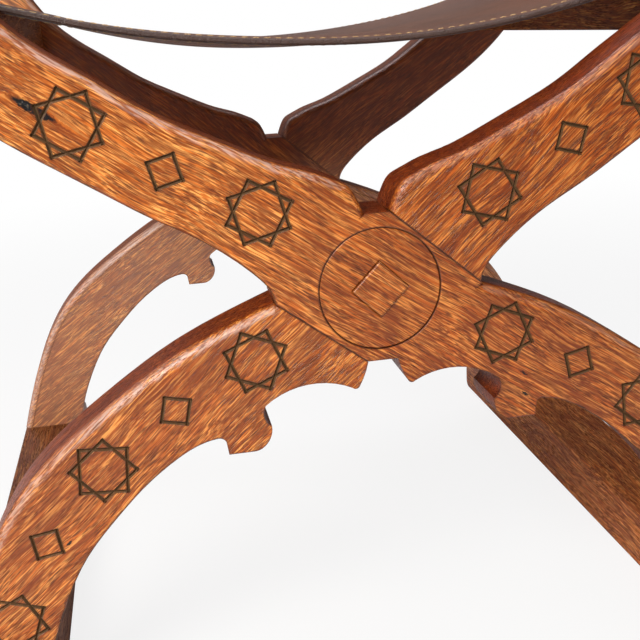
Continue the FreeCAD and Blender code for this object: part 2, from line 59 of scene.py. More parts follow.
def linear(code):
    """An sRGB hex colour as linear values."""
    parts = [int(code[i:i + 2], 16) / 255 for i in (1, 3, 5)]
    return tuple(c / 12.92 if c <= 0.04045 else ((c + 0.055) / 1.055) ** 2.4 for c in parts)


def node(tree, kind, inputs=None, output=0, **settings):
    """Adds a node with its settings, sets or links its inputs and returns one output."""
    made = tree.nodes.new(kind)
    for name, value in settings.items():
        setattr(made, name, value)
    for key, value in (inputs or {}).items():
        if isinstance(value, bpy.types.NodeSocket):
            tree.links.new(value, made.inputs[key])
        else:
            made.inputs[key].default_value = value
    return made.outputs[output] if made.outputs else None


def opaque(colour):
    """A linear colour with full cover."""
    return (*colour, 1.0)


def colour_property(title, what, code):
    return FloatVectorProperty(name=title, description=what, default=linear(code),
                               subtype="COLOR", size=3, min=0, max=1)


def length_property(title, what, millimetres):
    return FloatProperty(name=title, description=what, default=millimetres * MM,
                         subtype="DISTANCE", unit="LENGTH", min=0)


def angle_property(title, what, degrees):
    return FloatProperty(name=title, description=what, default=math.radians(degrees),
                         subtype="ANGLE", unit="ROTATION")


class WoodSettings(bpy.types.PropertyGroup):
    light: colour_property("Light fibres", "Palest wood between the pores", "#FAAC5A")
    middle: colour_property("Middle tone", "Most of the wood", "#D07026")
    deep: colour_property("Dark streaks", "Darker bands along the grain", "#78330A")
    pore: colour_property("Pores", "Open pores filled with old polish", "#4C2410")
    groove: colour_property("Grooves", "Stained floor of the carving", "#54402A")
    bloom: colour_property("Bloom", "Grey haze of old polish", "#C4A596")
    # Colour of the painted highlight on the upward rounded edges
    rubbed: colour_property("Painted edge highlight", "Pale highlight painted on the upper rounded edges", "#E2C6BC")
    knot: colour_property("Knots", "Heart of a knot", "#0C0A0C")
    chip: colour_property("Chips", "Torn wood in a knot", "#8C7456")
    pore_length: length_property("Pore length", "Length of one pore along the grain", 9.0)
    pore_width: length_property("Pore width", "Spacing of pores across the grain", 0.9)
    ring_spacing: length_property("Ring spacing", "Distance between growth rings", 7.0)


class LeatherSettings(bpy.types.PropertyGroup):
    hide: colour_property("Hide", "Waxed saddle leather", "#6A3D24")
    worn: colour_property("Worn hide", "Where use has rubbed the leather pale", "#8B5836")
    dark: colour_property("Dark edge", "Burnished edges and creases", "#2E1810")
    thread: colour_property("Thread", "Waxed linen thread", "#C8A878")
    # Colour of the painted shadow between the plies of the thread
    ply: colour_property("Ply", "Painted shadow between the plies of the thread", "#7A5A38")
    stitch_length: length_property("Stitch length", "Length of one stitch", 5.0)
    stitch_gap: length_property("Stitch gap", "Leather between two stitches", 2.2)
    thread_width: length_property("Thread width", "Diameter of the thread", 1.1)
    border: length_property("Border", "Row of stitches in from the edge", 11.0)
    rail_round: length_property("Rail round", "Rounded upper edges of the seat rails", 6.0)
    sag: length_property("Seat sag", "Depth of the slung seat", 34.0)
    clearance: length_property("Clearance", "Leather to rail", 0.3)
    back_sag: length_property("Back sag", "Depth of the slack in the back", 16.0)
    grain_size: length_property("Hide grain", "Size of the pebbles of the hide", 1.6)
    nail_inset: length_property("Nail inset", "First nail in from the edge", 11.0)
    seat_nails: IntProperty(name="Seat nails", description="Nails down one side of the seat",
                            default=13, min=2)
    back_nails: IntProperty(name="Back nails", description="Nails up one side of the back",
                            default=8, min=2)


class StageSettings(bpy.types.PropertyGroup):
    floor_size: length_property("Floor size", "Side of the pale floor", 30000.0)
    lens: FloatProperty(name="Lens", description="Focal length on a 36 mm sensor",
                        default=54.44, min=1, unit="CAMERA")
    yaw: angle_property("Yaw", "Camera turned to the right", 9.70)
    pitch: angle_property("Pitch", "Camera tilted down", 17.19)
    roll: angle_property("Roll", "Camera rolled clockwise", 3.37)
    place: FloatVectorProperty(name="Place", description="Where the camera stands",
                               default=(-0.13949, -0.82708, 0.45991), subtype="TRANSLATION",
                               unit="LENGTH", size=3)


class ArmchairSettings(bpy.types.PropertyGroup):
    wood: PointerProperty(type=WoodSettings, name="Wood", description="Varnished wood")
    leather: PointerProperty(type=LeatherSettings, name="Leather", description="Seat and back")
    stage: PointerProperty(type=StageSettings, name="Stage", description="Floor and camera")


def new_material(name):
    """A material without nodes, and its tree."""
    made = bpy.data.materials.new(name)
    made.use_nodes = True
    made.node_tree.nodes.clear()
    return made, made.node_tree


def give(names, material):
    """A material for nodes of the frame, in every slot they have."""
    for name in names:
        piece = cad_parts[name]
        if not piece.material_slots:
            piece.data.materials.append(material)
        for slot in piece.material_slots:
            slot.material = material


def place_in_mm(tree):
    """Place on the armchair in millimetres."""
    place = node(tree, "ShaderNodeTexCoord", output="Object")
    return node(tree, "ShaderNodeVectorMath", {0: place, "Scale": 1 / MM}, operation="SCALE")


def look(tree, axis, normal="True Normal"):
    """How far the surface looks along an axis."""
    tilt = node(tree, "ShaderNodeNewGeometry", output=normal)
    return node(tree, "ShaderNodeSeparateXYZ", {0: tilt}, output=axis)


def joined(tree, operation, values):
    """All the values joined by one operation."""
    whole, *others = values
    for value in others:
        whole = node(tree, "ShaderNodeMath", {0: whole, 1: value}, operation=operation)
    return whole


def together(tree, *shares):
    """Share of the surface where all the given shares hold together. A share is an output,
    a number, or a smooth slope: a value, where it starts and ends, and the share there."""
    found = []
    for share in shares:
        if isinstance(share, tuple):
            value, low, high, start, end = share
            share = node(tree, "ShaderNodeMapRange",
                         {"Value": value, 1: low, 2: high, 3: start, 4: end},
                         interpolation_type="SMOOTHSTEP")
        found.append(share)
    return joined(tree, "MULTIPLY", found)


def lay(tree, ground, *coats):
    """Lays coats over a ground: each a colour, then the shares where it lies together."""
    for colour, *shares in coats:
        ground = node(tree, "ShaderNodeMix",
                      {0: together(tree, *shares), 6: ground, 7: opaque(colour)},
                      output=2, data_type="RGBA")
    return ground


def stretched_noise(tree, place, lengths, detail=2.0, rough=0.5, shift=(0, 0, 0),
                    output="Fac"):
    """Noise whose features are about as long as the given millimetres on each axis."""
    scaled = node(tree, "ShaderNodeVectorMath",
                  {0: place, 1: [1 / s for s in lengths], 2: shift},
                  operation="MULTIPLY_ADD")
    return node(tree, "ShaderNodeTexNoise",
                {"Vector": scaled, "Scale": 1.0, "Detail": detail, "Roughness": rough},
                output=output)


def patches(tree, place, lengths, low, high, least=0.0, most=1.0, **noise):
    """Patches as long as the given millimetres: least where the noise is low, most where it
    is high."""
    return together(tree, (stretched_noise(tree, place, lengths, **noise), low, high,
                           least, most))


def thin_lines(tree, place, lengths, width, detail=2.0, rough=0.6):
    """Thin lines where noise crosses its middle value, as long as the noise is stretched."""
    noise = stretched_noise(tree, place, lengths, detail, rough)
    away = node(tree, "ShaderNodeMath", {0: noise, 1: 0.5}, operation="SUBTRACT")
    away = node(tree, "ShaderNodeMath", {0: away}, operation="ABSOLUTE")
    return together(tree, (away, 0.0, width, 1.0, 0.0))


def moved(tree, place, lengths, reach, **noise):
    """The place moved about by noise, as far as the given millimetres on each axis."""
    stray = stretched_noise(tree, place, lengths, output="Color", **noise)
    stray = node(tree, "ShaderNodeVectorMath", {0: stray, 1: (-0.5, -0.5, -0.5)})
    return node(tree, "ShaderNodeVectorMath", {0: stray, 1: reach, 2: place},
                operation="MULTIPLY_ADD")


def finish_surface(tree, height, relief, inputs, strength=1.0, normals=("Normal",)):
    """Ends a material: what stands up from it, by how many millimetres, and its surface."""
    bump = node(tree, "ShaderNodeBump", {"Height": height, "Strength": strength,
                                         "Distance": relief * MM}, output="Normal")
    shader = node(tree, "ShaderNodeBsdfPrincipled",
                  {**inputs, **{name: bump for name in normals}})
    node(tree, "ShaderNodeOutputMaterial", {"Surface": shader})


# Where the grain of each board points: turns that bring it onto X, in degrees
ALONG_Y = (0, 0, -90)
ALONG_Z = (0, 90, 0)
# How the grain wanders: over how many millimetres, and how far it strays
WANDER = (150, 60, 60)
STRAY = (0, 20, 20)
# Ragged outline of a knot: size of its teeth and how far they stand out, in millimetres
TEETH = (5, 2.5, 2.5)
TEETH_REACH = (9, 2.5, 5)
# A knot reaches to about 1.4 times its size and bends the grain to 3.5 times its size
KNOT_EDGE = (0.2, 1.4)
KNOT_PULL = (0.7, 3.5)


def grain_place(tree, turn, seed, knots):
    """Place in millimetres with X along the grain, wandering, and drawn in at the knots.
    A knot is x, y, z of its heart in millimetres, then its length and width."""
    angles = [math.radians(a) for a in turn]
    turned = node(tree, "ShaderNodeVectorRotate",
                  {"Vector": place_in_mm(tree), "Rotation": angles},
                  rotation_type="EULER_XYZ")
    wandering = moved(tree, turned, WANDER, STRAY, shift=(seed, seed * 3, seed * 7))
    if not knots:
        return wandering, None
    ragged = moved(tree, turned, TEETH, TEETH_REACH, detail=3.0, rough=0.65)
    hearts = []
    for *centre, length, width in knots:
        centre = Euler(angles).to_matrix() @ Vector(centre)
        away = node(tree, "ShaderNodeVectorMath", {0: ragged, 1: -centre})
        away = node(tree, "ShaderNodeVectorMath",
                    {0: away, 1: (1 / length, 1 / (4 * width), 1 / width)},
                    operation="MULTIPLY")
        far = node(tree, "ShaderNodeVectorMath", {0: away}, output="Value",
                   operation="LENGTH")
        bend, reach = KNOT_PULL
        pull = node(tree, "ShaderNodeMapRange",
                    {"Value": far, 1: 0.0, 2: reach, 3: 1.0, 4: 0.0},
                    interpolation_type="SMOOTHERSTEP")
        side = node(tree, "ShaderNodeVectorMath", {0: away, 1: (0, 0, -width * bend)},
                    operation="MULTIPLY")
        wandering = node(tree, "ShaderNodeVectorMath", {0: side, 1: pull, 2: wandering},
                         operation="MULTIPLY_ADD")
        hearts.append(together(tree, (far, *KNOT_EDGE, 1.0, 0.0)))
    return wandering, joined(tree, "MAXIMUM", hearts)


# The carved V: millimetres below its face, and how far its walls look outwards
GROOVE_DEPTHS = (0.12, 1.72)
GROOVE_WALLS = (0.50, 0.66)


def carving(tree, face):
    """Share of carved groove: below the carved face and on a wall as steep as the V."""
    height = node(tree, "ShaderNodeSeparateXYZ", {0: place_in_mm(tree)}, output="Y")
    height = node(tree, "ShaderNodeMath", {0: height}, operation="ABSOLUTE")
    depth = node(tree, "ShaderNodeMath", {0: face / MM, 1: height}, operation="SUBTRACT")
    tilt = node(tree, "ShaderNodeMath", {0: look(tree, "Y")}, operation="ABSOLUTE")
    inside = []
    for value, (least, most) in ((depth, GROOVE_DEPTHS), (tilt, GROOVE_WALLS)):
        inside.append(node(tree, "ShaderNodeMath", {0: value, 1: least},
                           operation="GREATER_THAN"))
        inside.append(node(tree, "ShaderNodeMath", {0: value, 1: most},
                           operation="LESS_THAN"))
    return together(tree, *inside)


def painted_light_by_place(tree, shade):
    """Painted light and shade by place: the lightest of the painted slopes along the axes."""
    place = place_in_mm(tree)
    return joined(tree, "MAXIMUM", [
        together(tree, (node(tree, "ShaderNodeSeparateXYZ", {0: place}, output=axis), *slope))
        for axis, *slope in shade])


# Straight shoulders of the lapped crossing: heading of each away from the boss, distance
SHOULDERS = ((48.93, 42.57), (232.07, 44.01))
KEY_SIDE = 25.9
# The crossing block reaches this far from its middle
CROOK_REACH = 69.0
# Joint lines show only on the outer third of a frame: where it begins, from the middle
OUTER_THIRD = 236.0
# Millimetres from a joint to where its old polish and its worn edges end
POLISH_LINE = (0.15, 0.75)
WORN_LINE = (0.0, 1.3)


def joint_lines(tree):
    """Old polish gathered in the joints round the boss (shoulders, disc and square key),
    how far their edges are worn down, and the share of wood away from the boss."""
    low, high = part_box("front_boss_disc")
    radius = (high.x - low.x) / 2 / MM
    middle = (low.z + high.z) / 2 / MM
    place = node(tree, "ShaderNodeVectorMath", {0: place_in_mm(tree), 1: (0, 0, -middle)})
    across, depth, up = [node(tree, "ShaderNodeSeparateXYZ", {0: place}, output=axis)
                         for axis in "XYZ"]
    flat = node(tree, "ShaderNodeVectorMath", {0: place, 1: (1, 0, 1)}, operation="MULTIPLY")
    from_axis = node(tree, "ShaderNodeVectorMath", {0: flat}, output="Value",
                     operation="LENGTH")
    near = node(tree, "ShaderNodeMath", {0: from_axis, 1: CROOK_REACH},
                operation="LESS_THAN")
    out = node(tree, "ShaderNodeMath", {0: depth}, operation="ABSOLUTE")
    out = node(tree, "ShaderNodeMath", {0: out, 1: OUTER_THIRD}, operation="GREATER_THAN")
    near = together(tree, near, out)
    ring = node(tree, "ShaderNodeMath", {0: from_axis, 1: radius}, operation="SUBTRACT")
    sides = node(tree, "ShaderNodeVectorMath", {0: flat}, operation="ABSOLUTE")
    corner = math.sqrt(0.5)
    diamond = node(tree, "ShaderNodeVectorMath", {0: sides, 1: (corner, 0, corner)},
                   output="Value", operation="DOT_PRODUCT")
    diamond = node(tree, "ShaderNodeMath", {0: diamond, 1: KEY_SIDE / 2},
                   operation="SUBTRACT")
    rear = node(tree, "ShaderNodeMath", {0: depth}, operation="SIGN")
    across = together(tree, across, rear, -1.0)
    spans = [ring, diamond]
    for heading, distance in SHOULDERS:
        turn = math.radians(heading)
        reach = node(tree, "ShaderNodeMath", {0: together(tree, across, math.cos(turn)),
                                              1: together(tree, up, math.sin(turn))},
                     operation="ADD")
        spans.append(node(tree, "ShaderNodeMath", {0: reach, 1: distance},
                          operation="SUBTRACT"))
    closest = joined(tree, "MINIMUM", [
        node(tree, "ShaderNodeMath", {0: span}, operation="ABSOLUTE") for span in spans])
    gathered, worn = [together(tree, near, (closest, *line, 1.0, 0.0))
                      for line in (POLISH_LINE, WORN_LINE)]
    away = node(tree, "ShaderNodeMath", {0: 1.0, 1: near}, operation="SUBTRACT")
    return gathered, worn, away


def sharp_edges(tree, reach):
    """Share of sharp edge: where a normal averaged over the reach leaves the face's own."""
    soft = node(tree, "ShaderNodeBevel", {"Radius": reach * MM}, samples=4)
    plain = node(tree, "ShaderNodeNewGeometry", output="True Normal")
    same = node(tree, "ShaderNodeVectorMath", {0: soft, 1: plain}, output="Value",
                operation="DOT_PRODUCT")
    return together(tree, (same, 0.78, 0.98, 1.0, 0.0))


def painted_edge_highlight(tree):
    """Share of painted highlight: the rounded edges that look upwards, less of it to the right.
    The eye gets pale broken lines of painted reflection there, where the varnish would catch the
    light."""
    facing = look(tree, "Y", "Normal")
    facing = node(tree, "ShaderNodeMath", {0: facing}, operation="ABSOLUTE")
    across = node(tree, "ShaderNodeSeparateXYZ", {0: place_in_mm(tree)}, output="X")
    return together(tree, (facing, 0.40, 0.66, 0.0, 1.0), (facing, 0.93, 0.995, 1.0, 0.0),
                    (look(tree, "Z", "Normal"), 0.02, 0.22, 0.0, 1.0),
                    (across, -60, 60, 1.0, 0.4))


def growth_rings(tree, place, pith, spacing):
    """Late wood of a board sawn beside the pith: tongues down the middle of its face and
    lines beside them. The pith is its depth, its height and how fast the board leaves it."""
    depth, height, slope = pith
    away = node(tree, "ShaderNodeVectorMath", {0: place, 1: (0, depth, -height)})
    away = node(tree, "ShaderNodeVectorMath", {0: away, 1: (0, 1, 1)}, operation="MULTIPLY")
    away = node(tree, "ShaderNodeVectorMath", {0: away}, output="Value", operation="LENGTH")
    along = node(tree, "ShaderNodeSeparateXYZ", {0: place}, output="X")
    away = node(tree, "ShaderNodeMath", {0: along, 1: slope, 2: away},
                operation="MULTIPLY_ADD")
    turns = node(tree, "ShaderNodeMath", {0: away, 1: spacing}, operation="DIVIDE")
    turns = node(tree, "ShaderNodeMath", {0: turns}, operation="FRACT")
    return together(tree, (turns, 0.40, 0.93, 0.0, 1.0), (turns, 0.93, 1.0, 1.0, 0.0))


# Features of the wood in millimetres: along the grain, across it and into the board
FIBRES = (40, 0.95, 0.95)
STREAKS = (44, 1.0, 1.0)
BANDS = (110, 8, 8)
STAINS = (90, 16, 16)
LONG_LINES = (70, 3.2, 3.2)
SHORT_LINES = (42, 2.1, 2.1)
LINE_BREAKS = (22, 2.4, 2.4)
PORE_CROWDS = (40, 6, 6)
KNOT_GRIT = (6, 3.0, 3.0)
KNOT_CRACKS = (4, 2, 2)
# Patches that break up the painted edge highlight
HIGHLIGHT_BREAKS = (14, 1.6, 1.6)
GROOVE_DIRT = (9, 2, 2)
ORANGE_PEEL = (2.0, 1.3, 1.3)
# Reach of the painted dark rim along sharp edges
EDGE_SHADE_REACH = 2.2
# How far a surface looks to the front or the rear where an edge starts to turn into a face
FACE_TURNS = (0.03, 0.32)
# Painted shade on undersides: how far a surface looks upwards between the darkest painted
# underside and a side with no painted shade
PAINTED_UNDERSIDE_SHADE = (-0.80, -0.12)
# Painted shade turns varnished wood redder as it darkens: powers of the painted shade for red,
# green and blue
PAINTED_SHADE_POWERS = (0.65, 1.10, 1.60)
# What stands up from the wood or lies below it, as shares of the relief in millimetres
RELIEF = 0.12
STREAK_SINK = -0.3
CHIP_RISE = 1.4
JOINT_SINK = -4.5
PEEL_RISE = 0.7


def wood_colour(tree, wood, place, heart, pith, banding):
    """Colour of bare wood, its pores, and what stands up from it: fibres, bands of growth,
    thin dark lines, stains and knots."""
    late = growth_rings(tree, place, pith, wood.ring_spacing / MM)
    streaks = patches(tree, place, STREAKS, 0.53, 0.60, detail=1.0)
    lines = joined(tree, "MAXIMUM", [thin_lines(tree, place, LONG_LINES, 0.100),
                                     thin_lines(tree, place, SHORT_LINES, 0.080)])
    # Real pores are about 0.2 mm wide: these are drawn four times as coarse, or they would
    # not show. So are the fibres, streaks and thin lines.
    size = (wood.pore_length, wood.pore_width, wood.pore_width)
    cells = node(tree, "ShaderNodeVectorMath", {0: place, 1: [MM / s for s in size]},
                 operation="MULTIPLY")
    pores = node(tree, "ShaderNodeTexVoronoi", {"Vector": cells, "Scale": 1.0},
                 output="Distance")
    crowd = patches(tree, place, PORE_CROWDS, 0.30, 0.62, 0.20, 0.48)
    pores = node(tree, "ShaderNodeMath", {0: crowd, 1: pores}, operation="SUBTRACT")
    pores = together(tree, (pores, -0.04, 0.20, 0.0, 1.0))
    colour = lay(
        tree, opaque(wood.light),
        (wood.middle, patches(tree, place, FIBRES, 0.44, 0.56, detail=1.0)),
        (wood.middle, patches(tree, place, BANDS, 0.36, 0.66, detail=3.0), 0.30),
        (wood.deep, late, 0.28),
        (wood.deep, streaks, 0.56),
        (wood.deep, lines, patches(tree, place, LINE_BREAKS, 0.34, 0.50), 0.84),
        (wood.deep, patches(tree, place, STAINS, 0.46, 0.72, detail=3.0, rough=0.6), banding),
        (wood.pore, pores, 0.66))
    height = node(tree, "ShaderNodeMath", {0: streaks, 1: STREAK_SINK, 2: 1.0},
                  operation="MULTIPLY_ADD")
    height = node(tree, "ShaderNodeMath", {0: height, 1: pores}, operation="SUBTRACT")
    if heart is not None:
        grit = patches(tree, place, KNOT_GRIT, 0.30, 0.46, detail=3.0, rough=0.7)
        halo = (together(tree, heart, grit), 0.05, 0.55, 0.0, 1.0)
        cracks = patches(tree, place, KNOT_CRACKS, 0.56, 0.64, detail=3.0, rough=0.7)
        chips = together(tree, cracks, (heart, 0.6, 0.9, 0.0, 1.0))
        colour = lay(tree, colour, (wood.knot, halo), (wood.chip, chips, 0.6))
        height = node(tree, "ShaderNodeMath", {0: chips, 1: CHIP_RISE, 2: height},
                      operation="MULTIPLY_ADD")
    return colour, pores, height


def varnished_wood(name, turn, seed, knots=(), tint="#FFFFFF", carved_face=None,
                   sides=0.44, pith=None, banding=0.4, joints=None, shade=(),
                   bloom=0.0):
    """Walnut, sawn along the grain, hand-planed, stained and varnished.
    The eye gets orange-brown fibres, short dark pores that break the gloss, soft bands of growth,
    and cut edges darker than the faces, partly from a deeper stain and partly from painted shade.
    Undersides and some places get painted shade, and the upward rounded edges a painted
    highlight."""
    wood = bpy.context.scene.armchair.wood
    made, tree = new_material("varnished_walnut_" + name)
    place, heart = grain_place(tree, turn, seed, knots)
    pith = pith or (30 + seed, 40 * seed, 0.05)
    colour, pores, height = wood_colour(tree, wood, place, heart, pith, banding)
    rough = together(tree, (pores, 0.0, 1.0, 0.42, 0.75))
    colour = node(tree, "ShaderNodeMix", {0: 1.0, 6: colour, 7: opaque(linear(tint))},
                  output=2, data_type="RGBA", blend_type="MULTIPLY")
    colour = lay(tree, colour, (wood.bloom, bloom))

    facing = node(tree, "ShaderNodeMath", {0: look(tree, "Y")}, operation="ABSOLUTE")
    varnish = together(tree, (facing, *FACE_TURNS, 0.20, 0.58))
    # Painted shade: side walls darker (partly a deeper stain), undersides darker, and darker by
    # place through the painted slopes
    edge = together(tree, (facing, *FACE_TURNS, sides, 1.0),
                    (look(tree, "Z"), *PAINTED_UNDERSIDE_SHADE, 0.30, 1.0))
    if shade:
        edge = together(tree, edge, painted_light_by_place(tree, shade))
    gathered, worn, away = (None, None, 1.0) if joints is None else joint_lines(tree)
    if carved_face is not None:
        # Painted highlight: a pale colour on the upward rounded edges, broken into patches and
        # kept off the boss
        marks = patches(tree, place, HIGHLIGHT_BREAKS, 0.38, 0.60, 0.04, 0.50, detail=3.0)
        colour = lay(tree, colour, (wood.rubbed, painted_edge_highlight(tree), marks, away))
    # The painted shade darkens the colour, red least and blue most
    painted_shade = [node(tree, "ShaderNodeMath", {0: edge, 1: power}, operation="POWER")
              for power in PAINTED_SHADE_POWERS]
    painted_shade = node(tree, "ShaderNodeCombineColor", dict(enumerate(painted_shade)))
    colour = node(tree, "ShaderNodeMix", {0: 1.0, 6: colour, 7: painted_shade}, output=2,
                  data_type="RGBA", blend_type="MULTIPLY")
    if carved_face is not None:
        # Painted shade: a dark rim in the colour of the pores along sharp edges, where
        # turned-down edges fall in shade
        colour = lay(tree, colour, (wood.pore, sharp_edges(tree, EDGE_SHADE_REACH), 0.80))
    if joints is not None:
        colour = lay(tree, colour, (wood.pore, gathered, joints))
        height = node(tree, "ShaderNodeMath", {0: worn, 1: JOINT_SINK, 2: height},
                      operation="MULTIPLY_ADD")
    if carved_face is not None:
        groove = carving(tree, carved_face)
        dirt = patches(tree, place, GROOVE_DIRT, 0.3, 0.7, 0.80, 0.98, detail=3.0)
        colour = lay(tree, colour, (wood.groove, groove, dirt))
        rough = node(tree, "ShaderNodeMath", {0: rough, 1: groove}, operation="MAXIMUM")
        bare = node(tree, "ShaderNodeMath", {0: 1.0, 1: groove}, operation="SUBTRACT")
        varnish = together(tree, varnish, bare)

    peel = stretched_noise(tree, place, ORANGE_PEEL)
    height = node(tree, "ShaderNodeMath", {0: peel, 1: PEEL_RISE, 2: height},
                  operation="MULTIPLY_ADD")
    finish_surface(tree, height, RELIEF,
                   {"Base Color": colour, "Roughness": rough, "IOR": 1.45,
                    "Specular IOR Level": 0.18, "Coat Weight": varnish,
                    "Coat Roughness": 0.22, "Coat IOR": 1.50},
                   normals=("Normal", "Coat Normal"))
    return made


# Knots of the two front planks: heart in millimetres, then length and width
OUTER_KNOTS = ((-198, -247, 421, 14, 3.0), (97, -247, 225, 2.6, 0.8),
               (98, -247, 210, 3.0, 1.0))
INNER_KNOTS = ((77, -235, 392, 9, 2.6), (-213, -247, 146, 2.2, 1.0))
# Where the heart of the tree lay beside a board: depth, height, how fast they part
OUTER_PITH = (18, 236, 0.10)
INNER_PITH = (25, 205, 0.04)
# Slopes of painted light and shade: axis, from where to where, painted lightness there
# Painted shadow of the seat: inner faces of the rear planks darken between rail height and the
# seat
PAINTED_SEAT_SHADOW = (("Z", 270, 350, 1.0, 0.24), ("Z", 440, 500, 0.24, 1.0),
              ("Y", 209, 228, 0.24, 1.0))
# Painted falloff of the window light: the plank, the inner plank and the boss grow darker towards
# the right
PAINTED_FALLOFF_RIGHT = (("X", -100, 25, 1.0, 0.66), ("X", 60, 190, 0.4, 0.78))
PAINTED_FALLOFF_BOSS = (("X", -60, 40, 0.94, 0.84),)
PAINTED_FALLOFF_INNER = (("X", -60, 30, 0.84, 0.66),)
# How much old polish fills the joints round the boss
JOINT_POLISH = 0.85


class ARMCHAIR_OT_planks(bpy.types.Operator):
    """Varnished wood with stained carving on the four crossed planks."""
    bl_idname = "armchair.planks"
    bl_label = "Crossed planks"

    def execute(self, context):
        face = -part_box("front_outer_member")[0].y
        # name: heading of the grain, seed, knots, pith, stains, painted shade, bloom
        boards = {
            "front_outer_member": (-35, 1.0, OUTER_KNOTS, OUTER_PITH, 0.26, PAINTED_FALLOFF_RIGHT, 0.0),
            "front_inner_member": (41, 2.3, INNER_KNOTS, INNER_PITH, 0.50, PAINTED_FALLOFF_INNER, 0.0),
            "rear_outer_member": (35, 3.7, (), (28, 160, 0.06), 0.4, PAINTED_SEAT_SHADOW, 0.24),
            "rear_inner_member": (-41, 5.1, (), (33, 140, 0.05), 0.4, PAINTED_SEAT_SHADOW, 0.16),
        }
        for name, (heading, seed, knots, pith, banding, shade, bloom) in boards.items():
            plank = varnished_wood(name, (0, heading, 0), seed, knots, carved_face=face,
                                   pith=pith, banding=banding, joints=JOINT_POLISH,
                                   shade=shade, bloom=bloom, sides=0.32)
            give([name], plank)
        return {"FINISHED"}


class ARMCHAIR_OT_bosses(bpy.types.Operator):
    """Boss discs and the stretcher whose square ends key them."""
    bl_idname = "armchair.bosses"
    bl_label = "Bosses and stretcher"

    def execute(self, context):
        front = varnished_wood("front_boss", (0, -35, 0), 1.0, tint="#EAE0D2",
                               pith=OUTER_PITH, joints=JOINT_POLISH, shade=PAINTED_FALLOFF_BOSS)
        rear = varnished_wood("rear_boss", (0, 35, 0), 3.7, tint="#D8D4D0",
                              joints=JOINT_POLISH)
        stretcher = varnished_wood("stretcher", (0, -38, 0), 9.6, tint="#F4EEEA",
                                   sides=0.8, banding=0.6, joints=0.1)
        give(["front_boss_disc"], front)
        give(["rear_boss_disc"], rear)
        give(["crossing_stretcher"], stretcher)
        return {"FINISHED"}


class ARMCHAIR_OT_runners(bpy.types.Operator):
    """Sled runners, darker than the planks, the left one darker than the right."""
    bl_idname = "armchair.runners"
    bl_label = "Runners"

    def execute(self, context):
        for seed, name, tint in ((11.3, "left_runner", "#A8A4A8"),
                                 (12.9, "right_runner", "#ECE4E4")):
            give([name], varnished_wood(name, ALONG_Y, seed, tint=tint, sides=1.0))
        return {"FINISHED"}


class ARMCHAIR_OT_arms(bpy.types.Operator):
    """Arms, back posts, seat rails and the drawbore pegs."""
    bl_idname = "armchair.arms"
    bl_label = "Arms, posts, rails and pegs"

    def execute(self, context):
        boards = (
            ("left_arm", ALONG_Y, 14.2, "#F4F0EC"), ("right_arm", ALONG_Y, 15.8, "#F4F0EC"),
            ("left_back_post", ALONG_Z, 17.1, "#F0ECE8"),
            ("right_back_post", ALONG_Z, 18.7, "#F0ECE8"),
            ("left_seat_rail", ALONG_Y, 20.4, "#D0CCC8"),
            ("right_seat_rail", ALONG_Y, 21.6, "#D0CCC8"),
        )
        for name, turn, seed, tint in boards:
            give([name], varnished_wood(name, turn, seed, tint=tint, sides=0.95))
        pegs = ["left_runner_pegs", "right_runner_pegs", "left_arm_pegs", "right_arm_pegs"]
        give(pegs, varnished_wood("pegs", ALONG_Y, 23.3, tint="#A8A09C", sides=1.0))
        return {"FINISHED"}


# Features of brass, hide and thread in millimetres, and how far their reliefs stand up
BRASS_BLOOM = (5, 5, 5)
BRASS_DENTS = (1.8, 1.8, 1.8)
HIDE_CLOUDS = (90, 90, 90)
HIDE_RUBS = (26, 26, 26)
HIDE_CREASES = (22, 7, 22)
CREASE_SINK = -1.3
PLY_TURNS = (0.8, 0.5, 0.5)
BRASS_RELIEF = 0.12
HIDE_RELIEF = 0.22
PLY_RELIEF = 0.15


def aged_brass():
    """Cast brass nail heads, polished by clothes and brown where fingers never reach.
    The eye gets a soft yellow gleam with a mottled brown bloom."""
    made, tree = new_material("aged_cast_brass")
    place = place_in_mm(tree)
    bloom = patches(tree, place, BRASS_BLOOM, 0.42, 0.68, detail=4.0, rough=0.6)
    colour = lay(tree, opaque(linear("#C9A25A")), (linear("#6E4E24"), bloom))
    rough = together(tree, (bloom, 0.0, 1.0, 0.26, 0.52))
    dents = stretched_noise(tree, place, BRASS_DENTS)
    finish_surface(tree, dents, BRASS_RELIEF,
                   {"Base Color": colour, "Metallic": 1.0, "Roughness": rough})
    return made


class ARMCHAIR_OT_nails(bpy.types.Operator):
    """Dome-headed nails of seat and back."""
    bl_idname = "armchair.nails"
    bl_label = "Nails"

    def execute(self, context):
        give(["left_seat_nails", "right_seat_nails", "left_back_nails", "right_back_nails"],
             aged_brass())
        return {"FINISHED"}


